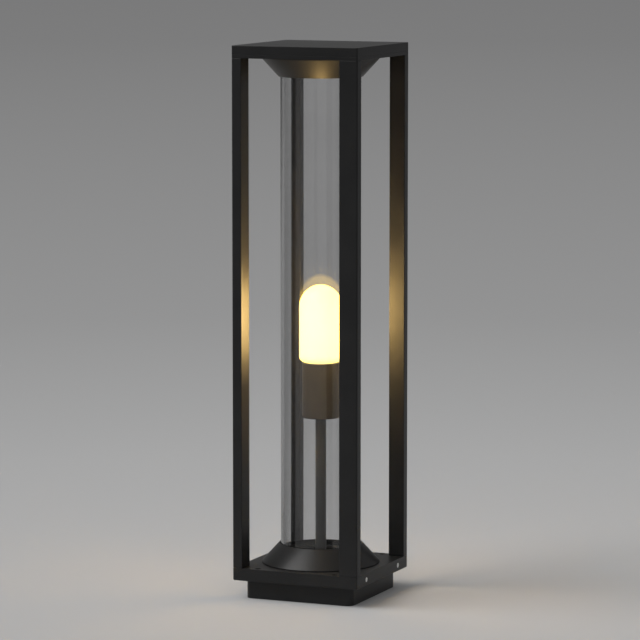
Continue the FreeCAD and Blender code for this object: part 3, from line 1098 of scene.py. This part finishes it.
# ---- Studio ------------------------------------------------------------------------------
@dataclass
class Studio:
    """The floor, the soft light, the lamp's own light and the camera."""

    floor_radius: float = 60.0
    floor_segments: int = 96
    floor_roughness: float = 0.9
    floor_blue: float = 1.005         # blue of the floor, of its red and green
    painted_light_stops: tuple[tuple[float, float], ...] = (   # distance from the lamp, and brightness of the painted pool of light
        (0.0, 0.50), (1.0, 0.425), (2.6, 0.325), (13.7, 0.225), (40.0, 0.20))
    world_level: float = 0.42
    wall_level: float = 0.195
    wall_rise: float = 0.8            # height in the sky above which the wall stays as bright
    key_strength: float = 1.9
    key_from: Vector = field(default_factory=lambda: Vector((-1.2, -0.9, 1.9)))
    key_angle: float = math.radians(38)
    lamp_watts: float = 0.95
    lamp_colour: Colour = (1.0, 0.64, 0.24)
    lamp_heights: tuple[float, ...] = (0.284, 0.306, 0.328)
    lamp_size: float = 18.0 * MM
    eye: Vector = field(default_factory=lambda: Vector((1.6034, -3.7595, 0.8059)))
    aim: Vector = field(default_factory=lambda: Vector((0.0, 0.0, 0.3192)))
    lens: float = 207.23
    sensor: float = 36.0
    shift: tuple[float, float] = (-0.00127, -0.0145)
    far: float = 200.0

    def floor(self) -> None:
        """Adds the pale floor, with a painted pool of light that darkens evenly with distance
        from the lamp.
        """
        bm = bmesh.new()
        bmesh.ops.create_circle(bm, cap_ends=True, segments=self.floor_segments,
                                radius=self.floor_radius)
        mesh = bpy.data.meshes.new("floor")
        bm.to_mesh(mesh)
        bm.free()
        mat, tree, shader = new_material("studio floor")
        base = 1.0 + self.painted_light_stops[-1][0]
        place = add_node(tree, "ShaderNodeTexCoord", -900)
        reach = add_node(tree, "ShaderNodeVectorMath", -700, 0, {0: place.outputs["Object"]},
                         operation="LENGTH")
        raised = maths(tree, "ADD", reach.outputs["Value"], 1.0, -610, -200)
        share = maths(tree, "LOGARITHM", raised, base, -520, 0)
        # Painted light: the floor's colour is brightest at the lamp's foot and darkens outwards.
        ramp = add_node(tree, "ShaderNodeValToRGB", -330, 0, {"Fac": share})
        stops = ramp.color_ramp.elements
        for distance, _ in self.painted_light_stops[1:-1]:
            stops.new(math.log(1.0 + distance, base))
        for stop, (_, level) in zip(stops, self.painted_light_stops):
            stop.color = (level, level, level * self.floor_blue, 1.0)
        feed(tree, shader, {"Base Color": ramp.outputs["Color"],
                            "Roughness": self.floor_roughness, "Specular IOR Level": 0.0})
        mesh.materials.append(mat)
        obj = add_object("floor", mesh)

    def light(self) -> None:
        """Adds the soft key light, the lamp's own lights and the even light all round."""
        key = bpy.data.lights.new("key", "SUN")
        key.energy = self.key_strength
        key.angle = self.key_angle
        sun = add_object("key", key)
        sun.rotation_euler = (-self.key_from).to_track_quat("-Z", "Y").to_euler()
        for i, height in enumerate(self.lamp_heights):
            glow = bpy.data.lights.new(f"lamp_glow_{i}", "POINT")
            glow.energy = self.lamp_watts
            glow.color = self.lamp_colour
            glow.shadow_soft_size = self.lamp_size
            inner = add_object(glow.name, glow)
            inner.location = (0.0, 0.0, height)
            inner.visible_diffuse = False
        bpy.context.scene.world = self.world()

    def world(self) -> bpy.types.World:
        """Builds the even light, with the dimmer studio wall that the eye, metal and glass see.

        Returns:
            The world.
        """
        world = bpy.data.worlds.new("studio")
        world.use_nodes = True
        tree = world.node_tree
        even = tree.nodes["Background"]
        feed(tree, even, {"Color": WHITE, "Strength": self.world_level})
        place = add_node(tree, "ShaderNodeTexCoord", -900, -200)
        axes = add_node(tree, "ShaderNodeSeparateXYZ", -700, -200, {
            "Vector": place.outputs["Generated"]})
        rise = add_node(tree, "ShaderNodeMapRange", -500, -200, {
            "Value": axes.outputs["Z"], "From Max": self.wall_rise,
            "To Min": self.wall_level, "To Max": self.world_level})
        wall = add_node(tree, "ShaderNodeBackground", 0, -200, {
            "Strength": rise.outputs["Result"]})
        rays = add_node(tree, "ShaderNodeLightPath", -700, 400)
        seen = rays.outputs["Is Camera Ray"]
        for i, kind in enumerate(("Is Glossy Ray", "Is Transmission Ray")):
            seen = maths(tree, "MAXIMUM", seen, rays.outputs[kind], -450 + 200 * i, 400)
        mix = add_node(tree, "ShaderNodeMixShader", 250, 0, {
            "Fac": seen, 1: even.outputs["Background"], 2: wall.outputs["Background"]})
        feed(tree, tree.nodes["World Output"], {"Surface": mix.outputs["Shader"]})
        return world

    def camera(self) -> None:
        """Adds the camera at the photograph's viewing angle."""
        data = bpy.data.cameras.new("camera")
        data.sensor_width = self.sensor
        data.lens = self.lens
        data.shift_x, data.shift_y = self.shift
        data.clip_end = self.far
        obj = add_object("camera", data)
        obj.location = self.eye
        obj.rotation_euler = (self.aim - self.eye).to_track_quat("-Z", "Y").to_euler()
        bpy.context.scene.camera = obj

    def build(self) -> None:
        """Sets up the studio."""
        self.floor()
        self.light()
        self.camera()
        bpy.context.scene.view_settings.view_transform = "Standard"


def main() -> None:
    """Loads the frame and builds every sub-assembly and the studio."""
    logging.basicConfig(level=logging.INFO, format="%(name)s: %(message)s")
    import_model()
    parts: Sequence[Callable[[], None]] = (Cage().build, GlassColumn().build, Holder().build,
                                           ScrewLamp().build, Fasteners().build, Wiring().build,
                                           Studio().build)
    for build in parts:
        build()


if __name__ == "__main__":
    main()
